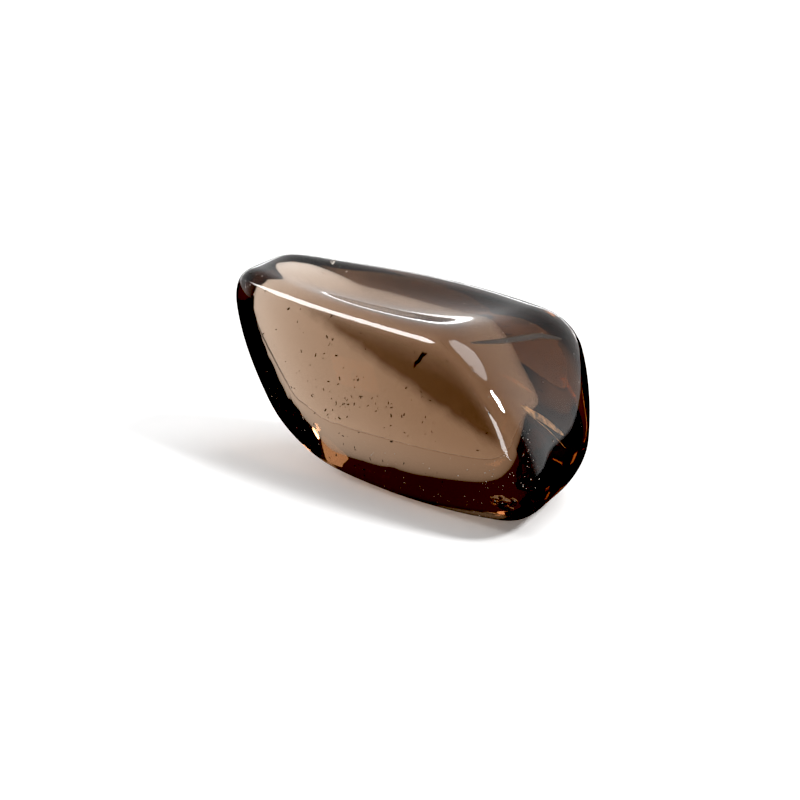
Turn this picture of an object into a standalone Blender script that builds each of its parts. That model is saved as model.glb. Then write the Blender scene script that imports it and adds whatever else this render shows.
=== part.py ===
"""Smoky quartz tumbled stone: one solid, polished pebble of natural quartz.

The pebble is built the way it came about. A rough block with eight corners is
broken out of a crystal, and a tumbler then wears its edges round, some more than
others. Metres, +Z up, origin under the middle of the stone on the surface it rests
on, +X along the stone's length.
"""

import math

import bmesh
import bpy
from mathutils import Vector

MM = 0.001

# The rough block's corners in millimetres, by end, side and level.
CORNERS = {
    ("left", "front", "bottom"): (-7.0, -6.0, 0.6),
    ("left", "front", "top"): (-13.6, -6.0, 16.6),
    ("left", "back", "bottom"): (-7.5, 2.0, 0.2),
    ("left", "back", "top"): (-15.4, 1.9, 16.7),
    ("right", "front", "bottom"): (21.0, -6.2, 0.8),
    ("right", "front", "top"): (9.0, -5.0, 16.1),
    ("right", "back", "bottom"): (16.0, 8.0, 0.0),
    ("right", "back", "top"): (13.2, 9.8, 15.0),
}

# How far the middle of an edge stands off the straight line between its corners.
EDGE_BOWS = {
    ("left", "front"): (-2.4, 0.0, -0.4),
    ("left", "back"): (-1.6, 0.5, -0.6),
    ("left", "top"): (-0.8, 0.0, 0.3),
    ("front", "top"): (0.0, 0.4, 0.0),
    ("front", "bottom"): (0.0, 0.0, -2.0),
    ("back", "bottom"): (0.0, 0.3, -1.2),
    ("back", "top"): (0.0, 1.3, 1.2),
    ("right", "front"): (3.2, 0.0, 0.4),
    ("right", "back"): (1.9, 0.6, 0.2),
}

# How far each face's middle stands out of the block (minus: dished).
FACE_BULGES = {"left": 0.6, "right": 0.5, "front": 0.3, "back": 2.5, "bottom": 0.4, "top": -1.5}

# The radii each edge is worn to at its two ends: left and right, front and back, or bottom and top.
EDGE_RADII = {
    ("front", "top"): (2.8, 2.2),
    ("front", "bottom"): (5.0, 5.0),
    ("back", "top"): (3.2, 3.2),
    ("back", "bottom"): (3.5, 3.5),
    ("left", "front"): (5.0, 3.0),
    ("left", "back"): (5.0, 4.0),
    ("right", "front"): (4.4, 2.4),
    ("right", "back"): (5.0, 4.0),
    ("left", "top"): (3.6, 4.4),
    ("left", "bottom"): (5.0, 5.0),
    ("right", "top"): (2.2, 3.2),
    ("right", "bottom"): (5.5, 5.5),
}
EDGE_REACH = 4  # the higher, the less an edge's radius reaches along its neighbours

# Half the block's usual length, depth and height, which the radii are measured against.
HALF_SIZES = Vector((15.0, 6.5, 8.0))

CUTS = 19
REST_FLAT_DEPTH = 0.3

SIDES = (("left", None, "right"), ("front", None, "back"), ("bottom", None, "top"))


def sides_at(signs):
    """The names of the faces that a guide point lies on, from its signs along X, Y and Z."""
    return tuple(SIDES[axis][sign + 1] for axis, sign in enumerate(signs) if sign)


def average(places):
    return sum(places, Vector()) / len(places)


def guide_points():
    """The rough block's corners, bowed edge middles, bulging face middles and centre."""
    all_signs = [(x, y, z) for x in (-1, 0, 1) for y in (-1, 0, 1) for z in (-1, 0, 1)]
    points = {}
    for signs in sorted(all_signs, key=lambda signs: signs.count(0)):
        sides = sides_at(signs)
        points[signs] = average([Vector(CORNERS[name]) for name in CORNERS if set(sides) <= set(name)])
        if len(sides) == 2:
            points[signs] += Vector(EDGE_BOWS.get(sides, (0.0, 0.0, 0.0)))
        if len(sides) == 1:
            edges = [near for near in points if near.count(0) == 1 and sides[0] in sides_at(near)]
            outward = Vector(signs)
            points[signs] = average([points[near] for near in edges]) + outward * FACE_BULGES[sides[0]]
    return points


def share(sign, along):
    """A guide point's share of a place, with which a line through three points is a parabola."""
    return 1 - along * along if sign == 0 else along * (along + sign) / 2


def place_in_block(spot, points):
    """Where a spot of the cube from -1 to 1 lies in the rough block."""
    shares = {signs: math.prod(map(share, signs, spot)) for signs in points}
    return sum((points[signs] * shares[signs] for signs in points), Vector())


def radius_at(spot):
    """The edge radius near a spot, which changes smoothly from each edge to the next."""
    total = weights = 0.0
    for edge, (first, last) in EDGE_RADII.items():
        signs = [next((sign for sign in (-1, 1) if names[sign + 1] in edge), 0) for names in SIDES]
        nearness = math.prod((1 + sign * along) / 2 for sign, along in zip(signs, spot) if sign)
        along = (1 + spot[signs.index(0)]) / 2
        weight = nearness**EDGE_REACH
        total += weight * (first + (last - first) * along)
        weights += weight
    return total / weights


def worn(spot):
    """A spot of the sharp cube, moved onto the rounded edge or corner nearest to it."""
    radius = radius_at(spot)
    place = Vector(along * half for along, half in zip(spot, HALF_SIZES))
    inner = Vector(
        max(radius - half, min(half - radius, along)) for along, half in zip(place, HALF_SIZES)
    )
    place = inner + (place - inner).normalized() * radius
    return Vector(along / half for along, half in zip(place, HALF_SIZES))


def tumbled_stone():
    """A finely cut cube whose points go onto the worn block, closer together at its edges."""
    bpy.ops.mesh.primitive_cube_add(size=2)
    stone = bpy.context.object
    stone.name = "smoky_quartz"
    work = bmesh.new()
    work.from_mesh(stone.data)
    bmesh.ops.subdivide_edges(work, edges=work.edges, cuts=CUTS, use_grid_fill=True)
    points = guide_points()
    for vertex in work.verts:
        spot = Vector(math.sin(along * math.pi / 2) for along in vertex.co)
        vertex.co = place_in_block(worn(spot), points)
    low = Vector(min(vertex.co[axis] for vertex in work.verts) for axis in range(3))
    high = Vector(max(vertex.co[axis] for vertex in work.verts) for axis in range(3))
    floor = low.z + REST_FLAT_DEPTH
    middle = (low + high) / 2
    for vertex in work.verts:
        vertex.co.z = max(vertex.co.z, floor)
        vertex.co = (vertex.co - Vector((middle.x, middle.y, floor))) * MM
    work.to_mesh(stone.data)
    work.free()
    stone.data.shade_smooth()
    return stone


def quartz():
    """Polished smoky quartz: clear brown, glassy."""
    material = bpy.data.materials.new("smoky_quartz")
    material.use_nodes = True
    shader = material.node_tree.nodes["Principled BSDF"]
    shader.inputs["Base Color"].default_value = (0.32, 0.22, 0.15, 1.0)
    shader.inputs["Roughness"].default_value = 0.03
    shader.inputs["Metallic"].default_value = 0.0
    shader.inputs["IOR"].default_value = 1.544
    shader.inputs["Transmission Weight"].default_value = 1.0
    return material


def main():
    for old in list(bpy.data.objects):
        bpy.data.objects.remove(old)
    stone = tumbled_stone()
    stone.data.materials.append(quartz())


main()
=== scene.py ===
import math
import random

import bpy
from mathutils import Matrix, Vector


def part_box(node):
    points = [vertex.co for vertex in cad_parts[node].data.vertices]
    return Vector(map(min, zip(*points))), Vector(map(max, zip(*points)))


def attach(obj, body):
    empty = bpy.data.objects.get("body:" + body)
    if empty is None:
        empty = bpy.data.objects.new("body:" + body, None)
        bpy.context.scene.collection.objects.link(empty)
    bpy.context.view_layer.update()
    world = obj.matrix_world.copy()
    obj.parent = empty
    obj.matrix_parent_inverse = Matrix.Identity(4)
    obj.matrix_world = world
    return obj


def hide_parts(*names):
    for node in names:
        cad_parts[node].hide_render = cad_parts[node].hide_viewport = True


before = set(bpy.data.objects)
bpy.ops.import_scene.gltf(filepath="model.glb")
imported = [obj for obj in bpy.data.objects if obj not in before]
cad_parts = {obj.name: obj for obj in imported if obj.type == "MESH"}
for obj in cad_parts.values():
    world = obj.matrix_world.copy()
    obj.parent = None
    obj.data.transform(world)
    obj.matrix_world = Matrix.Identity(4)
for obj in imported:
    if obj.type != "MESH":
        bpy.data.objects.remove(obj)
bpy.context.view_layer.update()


# The stone: one piece of clear smoky quartz, broken out of a crystal, worn round in a
# tumbling barrel and polished until it is glossy all over. The top is dished, and it lies
# loose on a small flat on its underside.
MM = 0.001
SMOKE = (0.60, 0.46, 0.33)
SMOKE_DENSITY = 245.0
QUARTZ_IOR = 1.544
PAINTED_SHADE_TINT = (0.13, 0.09, 0.06)  # painted shade: a darker tint across the upper right of the front face, standing in for the dark view through the long path inside the stone
PAINTED_SHADE_SLOPE = 0.32               # how fast its edge falls towards the right
PAINTED_SHADE_FOOT = 12.8                # the height of its edge at mid-length, in mm
PAINTED_SHADE_EDGE = 1.5                 # how soft the edge is, and how far it wavers, in mm
PAINTED_SHADE_WAVER = 1.2
PAINTED_SHADE_FRONT = (-6.6, -7.4)       # the depth at which the tint starts and is full, in mm
DISH_SLANT = (0.90, 0.985)      # how level the top has to be to count as dished, from none to all of it
DISH_ROUGHNESS = 0.045
SCRATCH_SCALE = (260.0, 9000.0, 9000.0)
SCRATCH_SHARE = (0.56, 0.72)
POLISH_DEPTH = 0.002
SEAM_GAP = 0.005                # the CAD mesh has its corners in several copies, closer than this, in mm
LOW, HIGH = (Vector(corner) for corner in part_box("smoky_quartz"))
MIDDLE = (LOW + HIGH) / 2


def start_fresh(active=None):
    """Nothing stays selected but the given object, which the next operators work on."""
    bpy.ops.object.select_all(action="DESELECT")
    if active is not None:
        active.select_set(True)
        bpy.context.view_layer.objects.active = active


def apply_modifier(piece, kind, **settings):
    start_fresh(piece)
    modifier = piece.modifiers.new(kind.lower(), kind)
    for name, value in settings.items():
        setattr(modifier, name, value)
    bpy.ops.object.modifier_apply(modifier=modifier.name)


stone = bpy.data.objects.new("tumbled_stone", bpy.data.objects["smoky_quartz"].data.copy())
bpy.context.scene.collection.objects.link(stone)
start_fresh(stone)
bpy.ops.object.mode_set(mode="EDIT")
bpy.ops.mesh.select_all(action="SELECT")
bpy.ops.mesh.remove_doubles(threshold=SEAM_GAP * MM)
bpy.ops.mesh.tris_convert_to_quads(face_threshold=math.radians(60), shape_threshold=math.radians(60))
bpy.ops.object.mode_set(mode="OBJECT")
apply_modifier(stone, "SUBSURF", levels=2, render_levels=2)


def on_stone(across, deep, up):
    """The spot on the polished surface nearest to a place in the stone's box, and its outward normal.
    The place runs from -1 to 1 across the length and the depth, and from 0 to 1 up the height."""
    half = (HIGH - LOW) / 2
    place = Vector((MIDDLE.x + across * half.x, MIDDLE.y + deep * half.y, LOW.z + up * 2 * half.z))
    _, spot, normal, _ = stone.closest_point_on_mesh(place)
    return spot, normal


def turned_to(normal, spin):
    """The turn that lays an object's own Z along a normal, after a spin about that Z."""
    return normal.to_track_quat("Z", "Y").to_matrix().to_4x4() @ Matrix.Rotation(spin, 4, "Z")


# The stone's chip, nicks and pits: where another stone struck this one in the barrel, a
# shell-shaped flake or a sliver broke out of the polished face. They are cut into the stone.
CHIP = (0.889, -0.909, 0.212)
CHIP_SCALLOPS = (  # sideways and upward shift, size, and how much of it stands out of the face, in mm
    (0.0, 0.0, 0.90, 0.30),
    (-0.85, 0.25, 0.60, 0.24),
    (0.75, 0.35, 0.55, 0.22),
    (0.25, -0.55, 0.50, 0.20),
    (-0.25, 0.55, 0.45, 0.18),
)
NICKS = (  # place, then length, width, depth in mm and spin in degrees
    ((-0.859, -0.801, 0.981), 0.62, 0.16, 0.10, 20),
    ((-0.900, -0.700, 0.965), 0.46, 0.13, 0.09, 50),
    ((-0.840, -0.900, 0.930), 0.40, 0.12, 0.08, -30),
    ((-0.780, -0.930, 0.905), 0.52, 0.15, 0.10, 75),
    ((-0.930, -0.820, 0.760), 0.44, 0.10, 0.07, 90),
    ((0.640, -0.800, 0.860), 0.20, 0.15, 0.08, 10),
    ((0.668, -0.800, 0.830), 0.15, 0.11, 0.07, 60),
    ((0.130, -0.990, 0.620), 0.22, 0.07, 0.05, 15),
)
PIT_COUNT = 46
PIT_SIZES = (0.045, 0.10)



def place_copy(model, size, turn, spot):
    """A copy of a model with a mesh of its own, stretched, turned and moved in the mesh."""
    copied = model.copy()
    copied.data = model.data.copy()
    bpy.context.scene.collection.objects.link(copied)
    copied.data.transform(Matrix.Diagonal((*size, 1.0)))
    copied.data.transform(turn)
    copied.data.transform(Matrix.Translation(spot))
    return copied


def join_copies(model, copies):
    """One object out of all the copies; the model itself is thrown away."""
    bpy.data.objects.remove(model)
    start_fresh(copies[0])
    for copied in copies:
        copied.select_set(True)
    bpy.ops.object.join()
    return bpy.context.object


chooser = random.Random(7)
start_fresh()
bpy.ops.mesh.primitive_ico_sphere_add(subdivisions=3, radius=1.0)
cutter = bpy.context.object
cutters = []
chip_spot, chip_normal = on_stone(*CHIP)
chip_turn = turned_to(chip_normal, 0.0)
for sideways, upward, size, proud in CHIP_SCALLOPS:
    shift = chip_turn @ Vector((sideways * MM, upward * MM, 0.0))
    _, spot, normal, _ = stone.closest_point_on_mesh(chip_spot + shift)
    cutters.append(place_copy(cutter, Vector((size, size * 0.8, size * 0.7)) * MM,
                              turned_to(normal, chooser.uniform(0, math.pi)), spot + normal * proud * MM))
for (across, deep, up), length, width, depth, spin in NICKS:
    spot, normal = on_stone(across, deep, up)
    cutters.append(place_copy(cutter, Vector((length / 2, width / 2, depth)) * MM,
                              turned_to(normal, math.radians(spin)), spot))
for _ in range(PIT_COUNT):
    spot, normal = on_stone(chooser.uniform(-1, 1), chooser.uniform(-1, 1), chooser.uniform(0.1, 1.0))
    size = chooser.uniform(*PIT_SIZES) * MM
    cutters.append(place_copy(cutter, Vector((size, size * chooser.uniform(0.5, 1.0), size * 0.8)),
                              turned_to(normal, 0.0), spot + normal * size * 0.2))
broken_out = join_copies(cutter, cutters)
apply_modifier(stone, "BOOLEAN", object=broken_out, operation="DIFFERENCE", use_self=True)
bpy.data.objects.remove(broken_out)
start_fresh(stone)
bpy.ops.object.shade_smooth_by_angle(angle=math.radians(30))

quartz = bpy.data.materials.new("polished_smoky_quartz")
quartz.use_nodes = True
nodes, links = quartz.node_tree.nodes, quartz.node_tree.links
glass = nodes["Principled BSDF"]
glass.inputs["Transmission Weight"].default_value = 1.0
glass.inputs["IOR"].default_value = QUARTZ_IOR
smoke = nodes.new("ShaderNodeVolumeAbsorption")
smoke.inputs["Color"].default_value = (*SMOKE, 1.0)
smoke.inputs["Density"].default_value = SMOKE_DENSITY
links.new(smoke.outputs["Volume"], nodes["Material Output"].inputs["Volume"])


def add_node(nodes, kind, **settings):
    """A shader node with some of its settings; inputs is a dictionary of values for unlinked sockets."""
    node = nodes.new("ShaderNode" + kind)
    for name, value in settings.items():
        if name == "inputs":
            for socket, number in value.items():
                node.inputs[socket].default_value = number
        else:
            setattr(node, name, value)
    return node


place = add_node(nodes, "TexCoord")
facing = add_node(nodes, "NewGeometry")
split_facing = add_node(nodes, "SeparateXYZ")
links.new(facing.outputs["Normal"], split_facing.inputs["Vector"])
dished = add_node(nodes, "MapRange", interpolation_type="SMOOTHSTEP",
                  inputs={"From Min": DISH_SLANT[0], "From Max": DISH_SLANT[1]})
links.new(split_facing.outputs["Z"], dished.inputs["Value"])
along_dish = add_node(nodes, "Mapping",
                      inputs={"Rotation": (0.0, 0.0, math.radians(-4)), "Scale": SCRATCH_SCALE})
links.new(place.outputs["Object"], along_dish.inputs["Vector"])
scratches = add_node(nodes, "TexNoise", inputs={"Scale": 1.0, "Detail": 3.0, "Roughness": 0.6})
links.new(along_dish.outputs["Vector"], scratches.inputs["Vector"])
scratch_depth = add_node(nodes, "MapRange",
                         inputs={"From Min": SCRATCH_SHARE[0], "From Max": SCRATCH_SHARE[1]})
links.new(scratches.outputs["Fac"], scratch_depth.inputs["Value"])
dish_scratches = add_node(nodes, "Math", operation="MULTIPLY")
links.new(scratch_depth.outputs["Result"], dish_scratches.inputs[0])
links.new(dished.outputs["Result"], dish_scratches.inputs[1])
swirl = add_node(nodes, "TexNoise", inputs={"Scale": 420.0, "Detail": 2.0, "Roughness": 0.5})
links.new(place.outputs["Object"], swirl.inputs["Vector"])
surface_height = add_node(nodes, "Math", operation="ADD")
links.new(dish_scratches.outputs["Value"], surface_height.inputs[0])
links.new(swirl.outputs["Fac"], surface_height.inputs[1])
polish = add_node(nodes, "Bump", invert=True, inputs={"Strength": 0.25, "Distance": POLISH_DEPTH * MM})
links.new(surface_height.outputs["Value"], polish.inputs["Height"])
links.new(polish.outputs["Normal"], glass.inputs["Normal"])
dullness = add_node(nodes, "MapRange", inputs={"To Max": DISH_ROUGHNESS})
links.new(dished.outputs["Result"], dullness.inputs["Value"])
links.new(dullness.outputs["Result"], glass.inputs["Roughness"])
# Painted shade: the front face's colour turns darker over its upper right, where the view through the stone
# runs a long way inside it and comes out dark. The edge slopes down to the right and wavers with the swirl
# noise.
shade_place = add_node(nodes, "SeparateXYZ")
links.new(place.outputs["Object"], shade_place.inputs["Vector"])
shade_slope = add_node(nodes, "Math", operation="MULTIPLY_ADD", inputs={1: PAINTED_SHADE_SLOPE})
links.new(shade_place.outputs["X"], shade_slope.inputs[0])
links.new(shade_place.outputs["Z"], shade_slope.inputs[2])
shade_waver = add_node(nodes, "Math", operation="MULTIPLY_ADD", inputs={1: PAINTED_SHADE_WAVER * MM})
links.new(swirl.outputs["Fac"], shade_waver.inputs[0])
links.new(shade_slope.outputs["Value"], shade_waver.inputs[2])
painted_shade = add_node(nodes, "MapRange", interpolation_type="SMOOTHSTEP",
                inputs={"From Min": PAINTED_SHADE_FOOT * MM, "From Max": (PAINTED_SHADE_FOOT + PAINTED_SHADE_EDGE) * MM})
links.new(shade_waver.outputs["Value"], painted_shade.inputs["Value"])
in_front = add_node(nodes, "MapRange", interpolation_type="SMOOTHSTEP",
                    inputs={"From Min": PAINTED_SHADE_FRONT[0] * MM, "From Max": PAINTED_SHADE_FRONT[1] * MM})
links.new(shade_place.outputs["Y"], in_front.inputs["Value"])
darker = add_node(nodes, "Math", operation="MULTIPLY")
links.new(painted_shade.outputs["Result"], darker.inputs[0])
links.new(in_front.outputs["Result"], darker.inputs[1])
painted_shade_tint = add_node(nodes, "Mix", data_type="RGBA",
                     inputs={"A": (1.0, 1.0, 1.0, 1.0), "B": (*PAINTED_SHADE_TINT, 1.0)})
links.new(darker.outputs["Value"], painted_shade_tint.inputs["Factor"])
links.new(painted_shade_tint.outputs["Result"], glass.inputs["Base Color"])
stone.data.materials.clear()
stone.data.materials.append(quartz)
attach(stone, "root")
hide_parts("smoky_quartz")


# The mineral flecks: over a hundred tiny dark splinters that the crystal grew round. Most lie a
# little way behind the broad front face, alone or in loose clouds.
FLECK_CLOUDS = (  # middle of the cloud in the box, how far it spreads, and how many flecks
    ((-0.16, 0.47), 0.07, 16),
    ((-0.10, 0.61), 0.05, 9),
    ((0.07, 0.50), 0.06, 12),
    ((-0.45, 0.75), 0.16, 26),
    ((-0.35, 0.45), 0.22, 30),
    ((0.05, 0.35), 0.25, 26),
    ((0.30, 0.55), 0.16, 12),
    ((0.55, 0.55), 0.14, 8),
)
FLECK_LENGTHS = (0.10, 0.42)
FLECK_DEPTHS = (0.25, 1.6)
CRACKS = (  # place on the front, then length, width in mm, spin in degrees and depth in mm
    ((0.316, 0.84), 1.5, 0.42, 62, 0.9),
    ((0.285, 0.80), 0.9, 0.26, 75, 1.1),
    ((0.345, 0.87), 0.7, 0.22, 40, 0.7),
)

mottle = bpy.data.node_groups.new("mottled_colour", "ShaderNodeTree")
for socket_name, kind in {"Scale": "Float", "Detail": "Float", "Dark Below": "Float", "Light Above": "Float",
                          "Dark": "Color", "Light": "Color"}.items():
    mottle.interface.new_socket(socket_name, in_out="INPUT", socket_type="NodeSocket" + kind)
mottle.interface.new_socket("Color", in_out="OUTPUT", socket_type="NodeSocketColor")
nodes, links = mottle.nodes, mottle.links
given, made = nodes.new("NodeGroupInput"), nodes.new("NodeGroupOutput")
place = add_node(nodes, "TexCoord")
grain = add_node(nodes, "TexNoise")
links.new(place.outputs["Object"], grain.inputs["Vector"])
links.new(given.outputs["Scale"], grain.inputs["Scale"])
links.new(given.outputs["Detail"], grain.inputs["Detail"])
share = add_node(nodes, "MapRange")
links.new(grain.outputs["Fac"], share.inputs["Value"])
links.new(given.outputs["Dark Below"], share.inputs["From Min"])
links.new(given.outputs["Light Above"], share.inputs["From Max"])
tones = add_node(nodes, "Mix", data_type="RGBA")
links.new(share.outputs["Result"], tones.inputs["Factor"])
links.new(given.outputs["Dark"], tones.inputs["A"])
links.new(given.outputs["Light"], tones.inputs["B"])
links.new(tones.outputs["Result"], made.inputs["Color"])


def mottled_material(name, scale, detail, band, dark, light, roughness):
    """An opaque mineral that goes from dark to light over a band of the noise, grain by grain."""
    material = bpy.data.materials.new(name)
    material.use_nodes = True
    nodes, links = material.node_tree.nodes, material.node_tree.links
    colour = add_node(nodes, "Group", node_tree=mottle)
    for socket_name, value in {"Scale": scale, "Detail": detail, "Dark Below": band[0], "Light Above": band[1],
                               "Dark": (*dark, 1.0), "Light": (*light, 1.0)}.items():
        colour.inputs[socket_name].default_value = value
    links.new(colour.outputs["Color"], nodes["Principled BSDF"].inputs["Base Color"])
    nodes["Principled BSDF"].inputs["Roughness"].default_value = roughness
    return material


dark_mineral = mottled_material("dark_mineral", 9000.0, 2.0, (0.0, 1.0),
                                (0.012, 0.008, 0.005), (0.09, 0.055, 0.03), 0.6)
chooser = random.Random(21)
start_fresh()
bpy.ops.mesh.primitive_ico_sphere_add(subdivisions=1, radius=0.5)
fleck = bpy.context.object
for vertex in fleck.data.vertices:
    vertex.co *= chooser.uniform(0.75, 1.2)
splinters = []
for (across, up), spread, count in FLECK_CLOUDS:
    for _ in range(count):
        spot, normal = on_stone(chooser.gauss(across, spread), -1.2, chooser.gauss(up, spread))
        length = chooser.uniform(*FLECK_LENGTHS) * MM
        width = length * chooser.uniform(0.18, 0.5)
        splinters.append(place_copy(fleck, (length, width, width * 0.6),
                                    turned_to(normal, chooser.gauss(math.radians(65), 0.6)),
                                    spot - normal * chooser.uniform(*FLECK_DEPTHS) * MM))
for (across, up), length, width, spin, sink in CRACKS:
    spot, normal = on_stone(across, -1.2, up)
    splinters.append(place_copy(fleck, (length * MM, width * MM, width * 0.5 * MM),
                                turned_to(normal, math.radians(spin)), spot - normal * sink * MM))
flecks = join_copies(fleck, splinters)
flecks.name = "mineral_flecks"
flecks.data.materials.clear()
flecks.data.materials.append(dark_mineral)
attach(flecks, "root")


# The dark shoulder line: a thin dark lens that follows the shoulder above the right end, a hair under the
# polish.
SHOULDER_LINE_PATH = ((0.52, -0.56, 0.905), (0.574, -0.216, 0.884), (0.60, 0.05, 0.87), (0.625, 0.311, 0.856),
                (0.68, 0.55, 0.82))


def buried_lens(name, path, half_width, half_thickness, sink, material):
    """A long thin lens that follows a path under the polished face; its sizes are in mm."""
    start_fresh()
    bpy.ops.mesh.primitive_uv_sphere_add(segments=12, ring_count=40, radius=1.0)
    piece = bpy.context.object
    piece.name = name
    spots = [on_stone(*place) for place in path]
    for vertex in piece.data.vertices:
        sideways, outward, height = vertex.co
        along = (height + 1.0) / 2.0 * (len(spots) - 1)
        step = min(int(along), len(spots) - 2)
        (spot, normal), (next_spot, next_normal) = spots[step], spots[step + 1]
        normal = normal.lerp(next_normal, along - step).normalized()
        side = normal.cross(next_spot - spot).normalized()
        vertex.co = (spot.lerp(next_spot, along - step) + side * sideways * half_width * MM
                     + normal * (outward * half_thickness - sink) * MM)
    start_fresh(piece)
    bpy.ops.object.shade_smooth()
    piece.data.materials.append(material)
    return piece


dark_shoulder_line = buried_lens("dark_shoulder_line", SHOULDER_LINE_PATH, 0.30, 0.05, 0.12, dark_mineral)
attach(dark_shoulder_line, "root")


# The painted corner image: lower down on the right end a thin brown and gold sheet inside the stone, with
# painted shade and painted glints that stand in for the refracted image of the back lower corner.
CORNER_IMAGE_PATH = ((0.815, -0.46, 0.650), (0.85, -0.32, 0.59), (0.866, -0.20, 0.545), (0.897, 0.06, 0.43))

# Painted shade and glint: dark brown grains with bright gold ones among them.
painted_shade_and_glint = mottled_material("painted_shade_and_glint", 1600.0, 4.0, (0.35, 0.72),
                              (0.10, 0.055, 0.028), (0.85, 0.45, 0.18), 0.4)
painted_corner_image = buried_lens("painted_corner_image", CORNER_IMAGE_PATH, 0.34, 0.05, 0.45, painted_shade_and_glint)
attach(painted_corner_image, "root")


# The painted glint: a narrow seam of the same brown and gold grains along the lower side of the corner image,
# a little nearer the surface, standing in for a lamp's gold glint refracted along the back corner.
GLINT_PATH = ((0.825, -0.47, 0.620), (0.862, -0.33, 0.555), (0.880, -0.22, 0.50), (0.915, 0.02, 0.37))

painted_glint_seam = buried_lens("painted_glint_seam", GLINT_PATH, 0.05, 0.04, 0.30, painted_shade_and_glint)
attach(painted_glint_seam, "root")


# The bruises: tiny white spots of crushed quartz, just under the polish along the rims, where
# the stones knocked together in the barrel.
BRUISE_CLOUDS = (  # middle of the cloud in the box, how far it spreads, and how many spots
    ((0.86, -0.80, 0.35), 0.06, 46),
    ((0.90, -0.60, 0.50), 0.06, 16),
    ((0.66, -0.82, 0.72), 0.07, 14),
    ((0.56, -0.20, 0.90), 0.10, 18),
    ((-0.60, -0.98, 0.42), 0.07, 12),
    ((-0.40, -0.98, 0.26), 0.05, 12),
    ((-0.86, -0.85, 0.95), 0.06, 16),
    ((0.20, -0.95, 0.16), 0.14, 26),
    ((0.60, -0.90, 0.12), 0.16, 30),
    ((0.0, 0.0, 0.95), 0.45, 26),
    ((0.80, 0.60, 0.60), 0.20, 12),
)
BRUISE_SIZES = (0.05, 0.13)

crushed = mottled_material("crushed_quartz", 12000.0, 2.0, (0.0, 1.0),
                           (0.42, 0.36, 0.30), (0.95, 0.92, 0.88), 0.7)
chooser = random.Random(5)
start_fresh()
bpy.ops.mesh.primitive_ico_sphere_add(subdivisions=1, radius=0.5)
bruise = bpy.context.object
for vertex in bruise.data.vertices:
    vertex.co *= chooser.uniform(0.7, 1.25)
marks = []
for (across, deep, up), spread, count in BRUISE_CLOUDS:
    for _ in range(count):
        spot, normal = on_stone(*(chooser.gauss(middle, spread) for middle in (across, deep, up)))
        size = chooser.uniform(*BRUISE_SIZES) * MM
        marks.append(place_copy(bruise, (size, size * chooser.uniform(0.4, 1.0), size * 0.35),
                                turned_to(normal, chooser.uniform(0, math.pi)), spot - normal * size * 0.6))
bruises = join_copies(bruise, marks)
bruises.name = "rim_bruises"
bruises.data.materials.clear()
bruises.data.materials.append(crushed)
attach(bruises, "root")


# The table and the light: a matt white table in a dark room, with a pale wall low behind it,
# a soft box on the left, one beside the camera, a strip behind and two lamps above. The table
# does not show in the polish, the strip shows only there, and the camera sees the room white.
CAMERA_TURN = 41.0
CAMERA_RISE = 22.0
CAMERA_DISTANCE = 0.25
CAMERA_LENS = 131.0
CAMERA_AIM = Vector((-1.52, -1.52, 6.70)) * MM
TABLE_RADIUS = 0.22
TABLE_GAP = 0.03
BLACK_LEVEL = 0.015

start_fresh()
bpy.ops.mesh.primitive_circle_add(vertices=96, radius=TABLE_RADIUS, fill_type="NGON",
                                  location=(0, 0, -TABLE_GAP * MM))
table = bpy.context.object
table.name = "table"
paper = bpy.data.materials.new("matt_white_table")
paper.use_nodes = True
paper_shader = paper.node_tree.nodes["Principled BSDF"]
paper_shader.inputs["Base Color"].default_value = (0.9, 0.9, 0.9, 1.0)
paper_shader.inputs["Roughness"].default_value = 1.0
paper_shader.inputs["Specular IOR Level"].default_value = 0.0
table.data.materials.append(paper)
table.visible_glossy = False


def way(turn, rise):
    """The direction that lies turn degrees right of the camera and rise degrees up."""
    around, up = math.radians(CAMERA_TURN + turn), math.radians(rise)
    return Vector((math.sin(around) * math.cos(up), -math.cos(around) * math.cos(up), math.sin(up)))


SOFT_BOXES = {
    "left_soft_box": {"turn": -88, "rise": 38, "distance": 0.4, "size": (0.08, 0.10), "brightness": 15.0},
    "front_soft_box": {"turn": -12, "rise": 18, "distance": 0.45, "size": (0.12, 0.16), "brightness": 10.0},
    "back_strip": {"turn": 180, "rise": 5, "distance": 0.45, "size": (0.8, 0.05), "brightness": 3.5},
}
SUNS = {
    "key_lamp": {"turn": 70, "rise": 48, "width": 12, "strength": 2.5},
    "overhead_lamp": {"turn": 110, "rise": 68, "width": 35, "strength": 1.2},
}


def hang(name, light, towards, distance):
    """A lamp that faces the stone from a direction and isn't seen by the camera itself."""
    hung = bpy.data.objects.new(name, light)
    bpy.context.scene.collection.objects.link(hung)
    hung.location = MIDDLE + towards * distance
    hung.rotation_euler = towards.to_track_quat("Z", "Y").to_euler()
    hung.visible_camera = False
    return hung


for name, box in SOFT_BOXES.items():
    width, height = box["size"]
    light = bpy.data.lights.new(name, "AREA")
    light.shape = "RECTANGLE"
    light.size, light.size_y = width, height
    light.energy = box["brightness"] * math.pi * width * height
    soft_box = hang(name, light, way(box["turn"], box["rise"]), box["distance"])
    soft_box.visible_transmission = name != "back_strip"
for name, sun in SUNS.items():
    light = bpy.data.lights.new(name, "SUN")
    light.angle = math.radians(sun["width"])
    light.energy = sun["strength"]
    hang(name, light, way(sun["turn"], sun["rise"]), 1.0)

room = bpy.data.worlds.new("room")
bpy.context.scene.world = room
room.use_nodes = True
nodes, links = room.node_tree.nodes, room.node_tree.links


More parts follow.
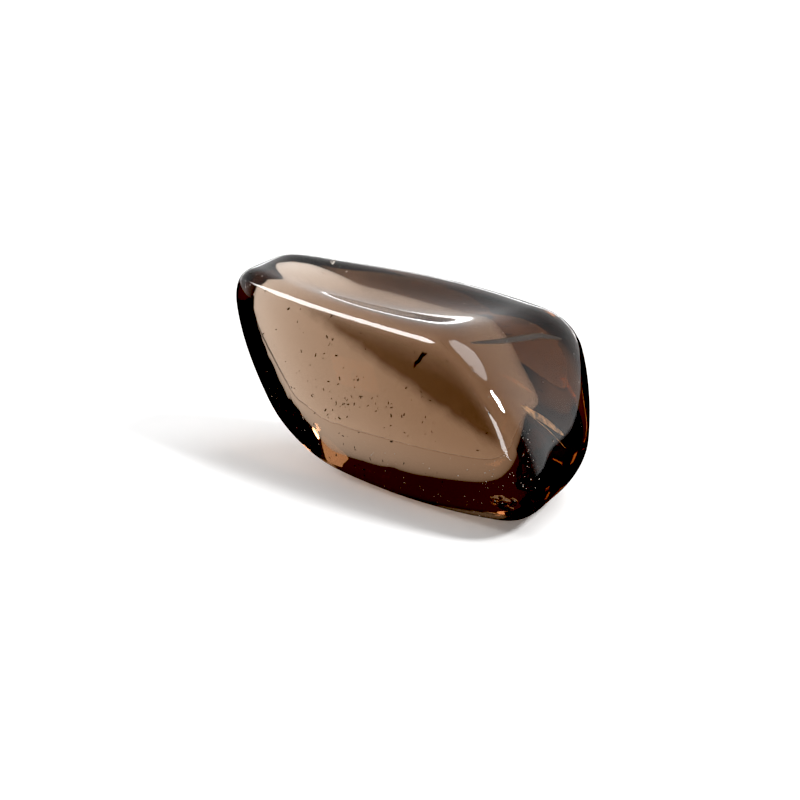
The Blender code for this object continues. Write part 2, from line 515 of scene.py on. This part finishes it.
def wall(stops):
    """A wall colour that changes with the rise above the horizon, in degrees."""
    ramp = add_node(nodes, "ValToRGB")
    ramp.color_ramp.elements.remove(ramp.color_ramp.elements[1])
    for index, (rise, brightness) in enumerate(stops):
        stop = ramp.color_ramp.elements[0] if index == 0 else ramp.color_ramp.elements.new(0.5)
        stop.position = (math.sin(math.radians(rise)) + 1.0) / 2.0
        stop.color = (brightness, brightness, brightness, 1.0)
    links.new(height.outputs["Result"], ramp.inputs["Fac"])
    return ramp.outputs["Color"]


BACK_WALL = ((-90, 0.0), (-2, 0.0), (0, 1.3), (9, 1.1), (17, 0.03), (55, 0.03), (65, 0.4), (90, 0.4))
FRONT_WALL = ((-90, 0.0), (0, 0.03), (50, 0.05), (60, 0.3), (90, 0.3))
direction = add_node(nodes, "TexCoord")
split_direction = add_node(nodes, "SeparateXYZ")
links.new(direction.outputs["Generated"], split_direction.inputs["Vector"])
height = add_node(nodes, "MapRange", inputs={"From Min": -1.0, "From Max": 1.0})
links.new(split_direction.outputs["Z"], height.inputs["Value"])
towards_front = add_node(nodes, "VectorMath", operation="DOT_PRODUCT")
towards_front.inputs[1].default_value = way(0.0, 0.0)
links.new(direction.outputs["Generated"], towards_front.inputs[0])
frontness = add_node(nodes, "MapRange", inputs={"From Min": -0.1, "From Max": 0.2})
links.new(towards_front.outputs["Value"], frontness.inputs["Value"])
walls = add_node(nodes, "Mix", data_type="RGBA")
links.new(frontness.outputs["Result"], walls.inputs["Factor"])
links.new(wall(BACK_WALL), walls.inputs["A"])
links.new(wall(FRONT_WALL), walls.inputs["B"])
links.new(walls.outputs["Result"], nodes["Background"].inputs["Color"])
backdrop = add_node(nodes, "Background", inputs={"Color": (1.0, 1.0, 1.0, 1.0)})
ray = add_node(nodes, "LightPath")
seen = add_node(nodes, "MixShader")
links.new(ray.outputs["Is Camera Ray"], seen.inputs["Fac"])
links.new(nodes["Background"].outputs["Background"], seen.inputs[1])
links.new(backdrop.outputs["Background"], seen.inputs[2])
links.new(seen.outputs["Shader"], nodes["World Output"].inputs["Surface"])

lens = bpy.data.cameras.new("camera")
lens.lens = CAMERA_LENS
lens.clip_start = 0.001
camera = bpy.data.objects.new("camera", lens)
bpy.context.scene.collection.objects.link(camera)
camera.location = CAMERA_AIM + way(0.0, CAMERA_RISE) * CAMERA_DISTANCE
camera.rotation_euler = way(0.0, CAMERA_RISE).to_track_quat("Z", "Y").to_euler()
bpy.context.scene.camera = camera
view = bpy.context.scene.view_settings
view.view_transform = "Standard"
view.use_curve_mapping = True
view.curve_mapping.black_level = (BLACK_LEVEL, BLACK_LEVEL, BLACK_LEVEL)
